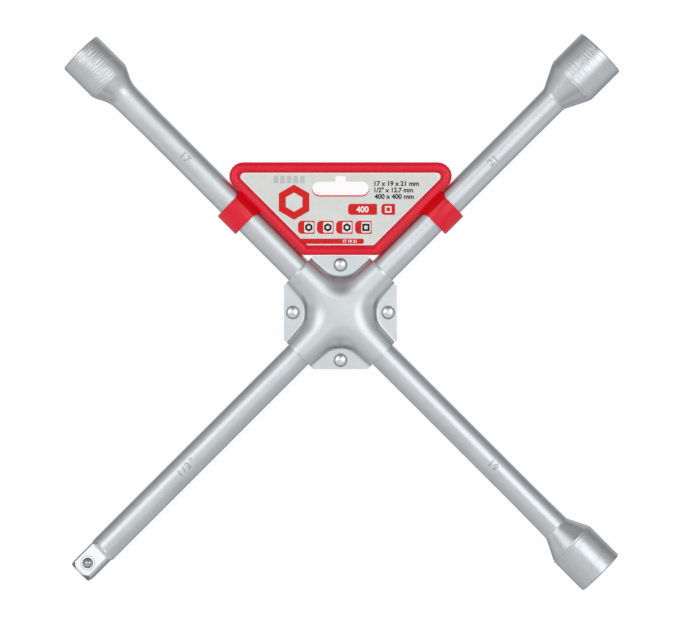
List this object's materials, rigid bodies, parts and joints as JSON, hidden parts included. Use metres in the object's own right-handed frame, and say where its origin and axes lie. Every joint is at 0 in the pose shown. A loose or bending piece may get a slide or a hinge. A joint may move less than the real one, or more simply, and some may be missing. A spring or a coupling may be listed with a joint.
{
  "type": "four-way lug wrench",
  "caption": "Cross-shaped lug wrench with hex sockets and a square drive on its arm ends, a riveted reinforcing hub and a clip-on hang tag.",
  "frame": {"origin": "centre of the hub, where the axes of the two bars cross", "axes": "+X along the arm of the 21 mm socket, +Y along the arm of the 17 mm socket, +Z out of the front, where the ball and the tag face"},
  "size_m": [0.4, 0.4, 0.0292],
  "materials": {
    "satin_plate": "satin chrome plate on forged steel",
    "satin_plate_sheet": "satin chrome plate on stamped sheet steel",
    "rivet_steel": "plated, semi-gloss",
    "ball_steel": "polished bearing steel",
    "spring_steel": "plain spring wire",
    "red_plastic": "moulded, semi-gloss",
    "printed_card": "printed, coated card"
  },
  "bodies": {
    "wrench": {"socket_bar": "satin_plate", "drive_bar": "satin_plate", "hub_shell_front": "satin_plate_sheet", "hub_shell_rear": "satin_plate_sheet", "rivet_top": "rivet_steel", "rivet_left": "rivet_steel", "rivet_bottom": "rivet_steel", "rivet_right": "rivet_steel", "detent_spring": "spring_steel"},
    "ball": {"detent_ball": "ball_steel"},
    "tag": {"tag_holder": "red_plastic", "tag_card": "printed_card"}
  },
  "joints": [
    {"name": "ball_press", "type": "slide", "parent": "wrench", "child": "ball", "axis": [0, -0.1392, -0.9903], "range_m": [0, 0.0015], "stiffness_N_per_m": 1500, "springref_m": -0.0015, "deforming": ["detent_spring"]},
    {"name": "tag_pull", "type": "slide", "parent": "wrench", "child": "tag", "axis": [0, 0, 1], "range_m": [0, 0.03]}
  ]
}
